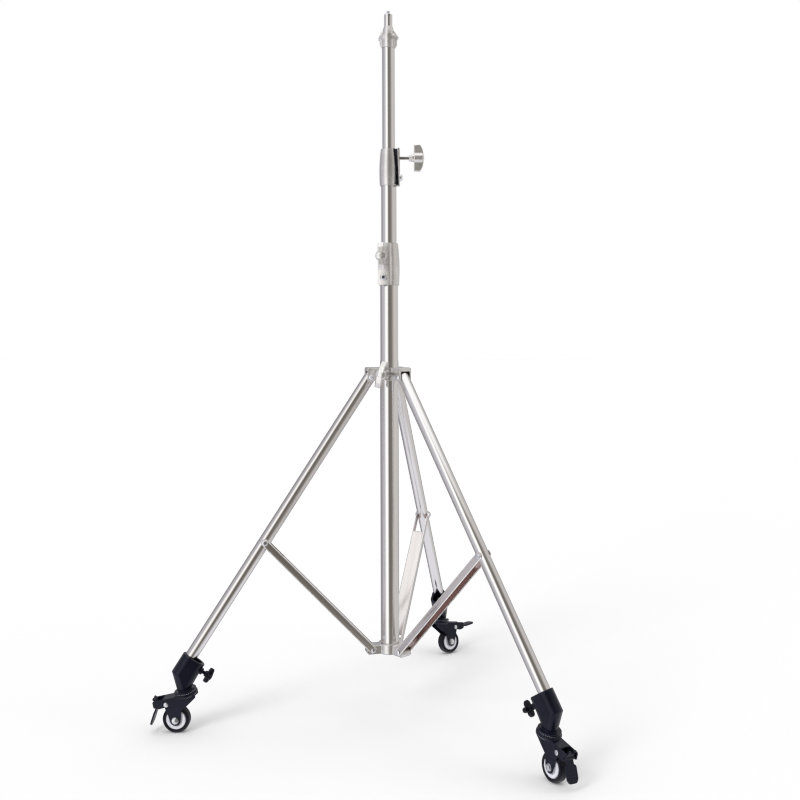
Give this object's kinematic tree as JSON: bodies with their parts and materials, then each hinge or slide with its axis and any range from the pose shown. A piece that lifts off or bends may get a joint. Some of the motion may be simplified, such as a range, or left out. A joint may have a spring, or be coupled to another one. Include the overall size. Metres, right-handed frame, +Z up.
{
  "type": "light stand",
  "caption": "Wheeled light stand: two telescoping steel risers with clamp collars and a spigot head, on a folding braced tripod base with braked swivel casters.",
  "frame": {"origin": "on the floor, at the middle of the floor box that the stand covers as it is set up", "axes": "+Z up along the column, +Y from the front of the stand to its back leg, +X to the right leg side"},
  "size_m": [0.7936, 0.7142, 1.3686],
  "materials": {
    "back_axle_bolt": "bright zinc plate",
    "back_brace": "folded and polished stainless sheet",
    "back_brace_bolt": "bright zinc plate",
    "back_brace_nut": "bright zinc plate",
    "back_brake_pedal": "moulded black plastic",
    "back_caster_fork": "black satin powder coat",
    "back_caster_socket": "black satin powder coat",
    "back_caster_tyre": "black moulded rubber",
    "back_caster_wheel": "pale moulded plastic",
    "back_hub_pin": "bright zinc plate",
    "back_leg_pin": "bright zinc plate",
    "back_leg_tube": "polished stainless tube",
    "back_socket_knob": "moulded black plastic",
    "base_end_plug": "moulded black plastic",
    "base_tube": "polished stainless tube",
    "brace_hub": "satin plated die casting",
    "crown": "satin plated die casting",
    "crown_knob": "satin plated die casting",
    "head_bolt": "bright zinc plate",
    "left_axle_bolt": "bright zinc plate",
    "left_brace": "folded and polished stainless sheet",
    "left_brace_bolt": "bright zinc plate",
    "left_brace_nut": "bright zinc plate",
    "left_brake_pedal": "moulded black plastic",
    "left_caster_fork": "black satin powder coat",
    "left_caster_socket": "black satin powder coat",
    "left_caster_tyre": "black moulded rubber",
    "left_caster_wheel": "pale moulded plastic",
    "left_hub_pin": "bright zinc plate",
    "left_leg_pin": "bright zinc plate",
    "left_leg_tube": "polished stainless tube",
    "left_socket_knob": "moulded black plastic",
    "lower_clamp_knob": "satin plated die casting",
    "lower_collar": "satin plated die casting",
    "lower_collar_bolt": "bright zinc plate",
    "lower_collar_liner": "moulded black plastic",
    "mid_riser_tube": "polished stainless tube",
    "mid_slide_bush": "moulded black plastic",
    "right_axle_bolt": "bright zinc plate",
    "right_brace": "folded and polished stainless sheet",
    "right_brace_bolt": "bright zinc plate",
    "right_brace_nut": "bright zinc plate",
    "right_brake_pedal": "moulded black plastic",
    "right_caster_fork": "black satin powder coat",
    "right_caster_socket": "black satin powder coat",
    "right_caster_tyre": "black moulded rubber",
    "right_caster_wheel": "pale moulded plastic",
    "right_hub_pin": "bright zinc plate",
    "right_leg_pin": "bright zinc plate",
    "right_leg_tube": "polished stainless tube",
    "right_socket_knob": "moulded black plastic",
    "spigot_head": "satin plated die casting",
    "spigot_stud": "bright zinc plate",
    "top_riser_tube": "polished stainless tube",
    "top_slide_bush": "moulded black plastic",
    "upper_clamp_knob": "satin plated die casting",
    "upper_collar": "satin plated die casting",
    "upper_collar_bolt": "bright zinc plate",
    "upper_collar_liner": "moulded black plastic"
  },
  "bodies": {
    "base": {"base_tube": "base_tube", "base_end_plug": "base_end_plug", "brace_hub": "brace_hub", "lower_collar": "lower_collar", "lower_collar_liner": "lower_collar_liner", "lower_collar_bolt": "lower_collar_bolt", "right_hub_pin": "right_hub_pin", "left_hub_pin": "left_hub_pin", "back_hub_pin": "back_hub_pin"},
    "lower_knob": {"lower_clamp_knob": "lower_clamp_knob"},
    "mid_slider": {"mid_slide_bush": "mid_slide_bush"},
    "mid_riser": {"mid_riser_tube": "mid_riser_tube", "upper_collar": "upper_collar", "upper_collar_liner": "upper_collar_liner", "upper_collar_bolt": "upper_collar_bolt"},
    "upper_knob": {"upper_clamp_knob": "upper_clamp_knob"},
    "top_slider": {"top_slide_bush": "top_slide_bush"},
    "top_riser": {"top_riser_tube": "top_riser_tube", "spigot_head": "spigot_head", "spigot_stud": "spigot_stud", "head_bolt": "head_bolt"},
    "crown": {"crown": "crown", "right_leg_pin": "right_leg_pin", "left_leg_pin": "left_leg_pin", "back_leg_pin": "back_leg_pin"},
    "crown_knob": {"crown_knob": "crown_knob"},
    "right_leg": {"right_leg_tube": "right_leg_tube", "right_caster_socket": "right_caster_socket"},
    "right_socket_knob": {"right_socket_knob": "right_socket_knob"},
    "right_brace": {"right_brace": "right_brace", "right_brace_bolt": "right_brace_bolt", "right_brace_nut": "right_brace_nut"},
    "right_fork": {"right_caster_fork": "right_caster_fork", "right_axle_bolt": "right_axle_bolt"},
    "right_wheel": {"right_caster_tyre": "right_caster_tyre", "right_caster_wheel": "right_caster_wheel"},
    "right_pedal": {"right_brake_pedal": "right_brake_pedal"},
    "left_leg": {"left_leg_tube": "left_leg_tube", "left_caster_socket": "left_caster_socket"},
    "left_socket_knob": {"left_socket_knob": "left_socket_knob"},
    "left_brace": {"left_brace": "left_brace", "left_brace_bolt": "left_brace_bolt", "left_brace_nut": "left_brace_nut"},
    "left_fork": {"left_caster_fork": "left_caster_fork", "left_axle_bolt": "left_axle_bolt"},
    "left_wheel": {"left_caster_tyre": "left_caster_tyre", "left_caster_wheel": "left_caster_wheel"},
    "left_pedal": {"left_brake_pedal": "left_brake_pedal"},
    "back_leg": {"back_leg_tube": "back_leg_tube", "back_caster_socket": "back_caster_socket"},
    "back_socket_knob": {"back_socket_knob": "back_socket_knob"},
    "back_brace": {"back_brace": "back_brace", "back_brace_bolt": "back_brace_bolt", "back_brace_nut": "back_brace_nut"},
    "back_fork": {"back_caster_fork": "back_caster_fork", "back_axle_bolt": "back_axle_bolt"},
    "back_wheel": {"back_caster_tyre": "back_caster_tyre", "back_caster_wheel": "back_caster_wheel"},
    "back_pedal": {"back_brake_pedal": "back_brake_pedal"}
  },
  "joints": [
    {"name": "mid_riser_slide", "type": "slide", "parent": "base", "child": "mid_slider", "axis": [0, 0, 1], "range_m": [-0.11, 0.42]},
    {"name": "mid_riser_turn", "type": "hinge", "parent": "mid_slider", "child": "mid_riser", "pos_m": [0.00687, -0.10879, 0], "axis": [0, 0, 1], "continuous": true},
    {"name": "top_riser_slide", "type": "slide", "parent": "mid_riser", "child": "top_slider", "axis": [0, 0, 1], "range_m": [-0.19, 0.42]},
    {"name": "top_riser_turn", "type": "hinge", "parent": "top_slider", "child": "top_riser", "pos_m": [0.00687, -0.10879, 0], "axis": [0, 0, 1], "continuous": true},
    {"name": "lower_knob_turn", "type": "hinge", "parent": "base", "child": "lower_knob", "pos_m": [-0.00098, -0.11032, 0.88687], "axis": [0.1908, -0.9816, 0], "range_deg": [0, 360]},
    {"name": "upper_knob_turn", "type": "hinge", "parent": "mid_riser", "child": "upper_knob", "pos_m": [0.00925, -0.11643, 1.08047], "axis": [0.9548, 0.2974, 0], "range_deg": [0, 360]},
    {"name": "crown_slide", "type": "slide", "parent": "base", "child": "crown", "axis": [0, 0, 1], "range_m": [0, 0.1313]},
    {"name": "crown_knob_turn", "type": "hinge", "parent": "crown", "child": "crown_knob", "pos_m": [0.00687, -0.10879, 0.66222], "axis": [0, -1, 0], "range_deg": [0, 360]},
    {"name": "right_leg_fold", "type": "hinge", "parent": "crown", "child": "right_leg", "pos_m": [0.04069, -0.12832, 0.65602], "axis": [0.5, 0.866, 0], "range_deg": [0, 23.46]},
    {"name": "right_brace_fold", "type": "hinge", "parent": "base", "child": "right_brace", "pos_m": [0.03761, -0.12654, 0.12982], "axis": [0.5, 0.866, 0], "range_deg": [-30.69, 0]},
    {"name": "right_socket_knob_turn", "type": "hinge", "parent": "right_leg", "child": "right_socket_knob", "pos_m": [0.34219, -0.30239, 0.12904], "axis": [-0.7226, 0.4172, -0.5512], "range_deg": [0, 360]},
    {"name": "right_caster_swivel", "type": "hinge", "parent": "right_leg", "child": "right_fork", "pos_m": [0.3444, -0.30367, 0.07639], "axis": [0.1956, -0.1129, 0.9742], "continuous": true},
    {"name": "right_wheel_spin", "type": "hinge", "parent": "right_fork", "child": "right_wheel", "pos_m": [0.35524, -0.31719, 0.02522], "axis": [0.677, 0.7343, -0.0508], "continuous": true},
    {"name": "right_pedal_lift", "type": "hinge", "parent": "right_fork", "child": "right_pedal", "pos_m": [0.38164, -0.33971, 0.0516], "axis": [-0.677, -0.7343, 0.0508], "range_deg": [0, 74]},
    {"name": "left_leg_fold", "type": "hinge", "parent": "crown", "child": "left_leg", "pos_m": [-0.02695, -0.12832, 0.65602], "axis": [0.5, -0.866, 0], "range_deg": [0, 23.46]},
    {"name": "left_brace_fold", "type": "hinge", "parent": "base", "child": "left_brace", "pos_m": [-0.02387, -0.12654, 0.12982], "axis": [0.5, -0.866, 0], "range_deg": [-30.69, 0]},
    {"name": "left_socket_knob_turn", "type": "hinge", "parent": "left_leg", "child": "left_socket_knob", "pos_m": [-0.32845, -0.30239, 0.12904], "axis": [0.7226, 0.4172, -0.5512], "range_deg": [0, 360]},
    {"name": "left_caster_swivel", "type": "hinge", "parent": "left_leg", "child": "left_fork", "pos_m": [-0.33066, -0.30367, 0.07639], "axis": [-0.1956, -0.1129, 0.9742], "continuous": true},
    {"name": "left_wheel_spin", "type": "hinge", "parent": "left_fork", "child": "left_wheel", "pos_m": [-0.3482, -0.30488, 0.02531], "axis": [0.2481, -0.9667, -0.0622], "continuous": true},
    {"name": "left_pedal_lift", "type": "hinge", "parent": "left_fork", "child": "left_pedal", "pos_m": [-0.38129, -0.31507, 0.05176], "axis": [-0.2481, 0.9667, 0.0622], "range_deg": [0, 74]},
    {"name": "back_leg_fold", "type": "hinge", "parent": "crown", "child": "back_leg", "pos_m": [0.00687, -0.06974, 0.65602], "axis": [-1, 0, 0], "range_deg": [0, 23.46]},
    {"name": "back_brace_fold", "type": "hinge", "parent": "base", "child": "back_brace", "pos_m": [0.00687, -0.07329, 0.12982], "axis": [-1, 0, 0], "range_deg": [-30.69, 0]},
    {"name": "back_socket_knob_turn", "type": "hinge", "parent": "back_leg", "child": "back_socket_knob", "pos_m": [0.00687, 0.2784, 0.12904], "axis": [0, -0.8344, -0.5512], "range_deg": [0, 360]},
    {"name": "back_caster_swivel", "type": "hinge", "parent": "back_leg", "child": "back_fork", "pos_m": [0.00687, 0.28096, 0.07639], "axis": [0, 0.2258, 0.9742], "continuous": true},
    {"name": "back_wheel_spin", "type": "hinge", "parent": "back_fork", "child": "back_wheel", "pos_m": [0.02411, 0.29202, 0.0264], "axis": [-0.788, 0.5998, -0.139], "continuous": true},
    {"name": "back_pedal_press", "type": "hinge", "parent": "back_fork", "child": "back_pedal", "pos_m": [0.04135, 0.32106, 0.05396], "axis": [-0.788, 0.5998, -0.139], "range_deg": [0, 74]}
  ],
  "couplings": [
    {"joint": "right_leg_fold", "follows": "crown_slide", "rad_per_m": 3.1169},
    {"joint": "right_brace_fold", "follows": "crown_slide", "rad_per_m": -4.0773},
    {"joint": "left_leg_fold", "follows": "crown_slide", "rad_per_m": 3.1169},
    {"joint": "left_brace_fold", "follows": "crown_slide", "rad_per_m": -4.0773},
    {"joint": "back_leg_fold", "follows": "crown_slide", "rad_per_m": 3.1169},
    {"joint": "back_brace_fold", "follows": "crown_slide", "rad_per_m": -4.0773}
  ]
}
